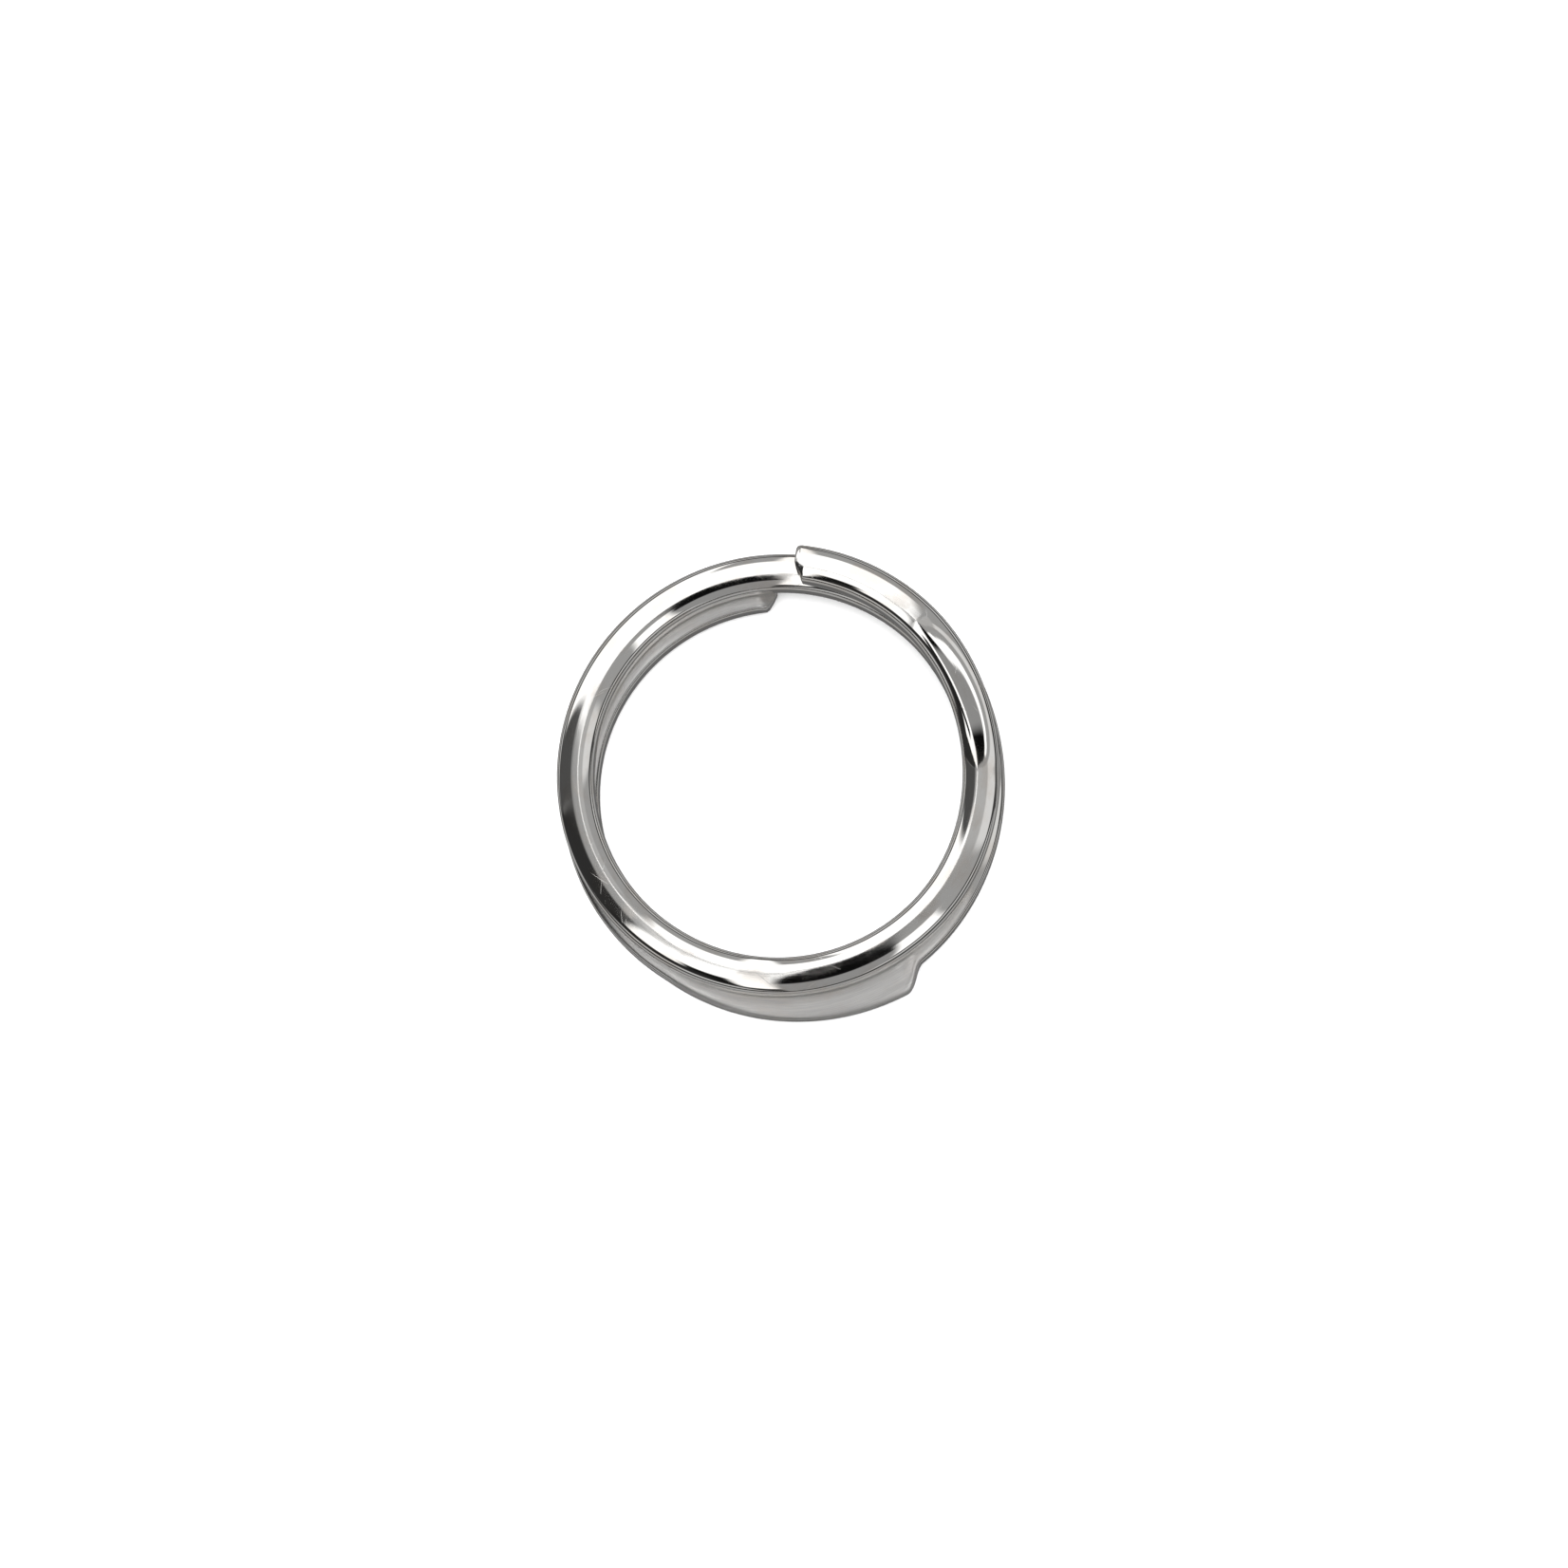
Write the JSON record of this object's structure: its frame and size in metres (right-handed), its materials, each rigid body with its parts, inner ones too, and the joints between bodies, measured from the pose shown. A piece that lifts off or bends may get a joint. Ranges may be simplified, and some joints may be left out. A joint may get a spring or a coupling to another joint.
{
  "type": "split key ring",
  "caption": "Round split key ring of flattened spring wire wound in two turns, with two bevelled ends that spring open and a pressed thumb pad.",
  "frame": {"origin": "on the resting plane, under the middle of the whole ring", "axes": "+Z out of the front face along the ring's axis, +Y towards the two wire ends, +X to the right seen from the front"},
  "size_m": [0.0248, 0.026, 0.0048],
  "materials": {
    "plated_spring_steel": "bright nickel plate over spring steel, fine rolling lines and handling scratches"
  },
  "bodies": {
    "middle": {"middle_turn": "plated_spring_steel", "rear_step": "plated_spring_steel", "rear_bend": "plated_spring_steel", "thumb_pad": "plated_spring_steel"},
    "front_end": {"front_tip": "plated_spring_steel", "front_arm": "plated_spring_steel", "front_step": "plated_spring_steel", "front_bend": "plated_spring_steel"},
    "rear_end": {"rear_arm": "plated_spring_steel", "rear_tip": "plated_spring_steel"}
  },
  "joints": [
    {"name": "front_opening", "type": "hinge", "parent": "middle", "child": "front_end", "pos_m": [-0.00089, -0.01175, 0.0016], "axis": [0.9976, -0.0698, 0], "range_deg": [0, 7], "stiffness_Nm_per_rad": 1.2},
    {"name": "rear_opening", "type": "hinge", "parent": "middle", "child": "rear_end", "pos_m": [-0.00644, -0.01065, 0.00155], "axis": [-0.848, 0.5299, 0], "range_deg": [0, 7], "stiffness_Nm_per_rad": 1.2}
  ]
}
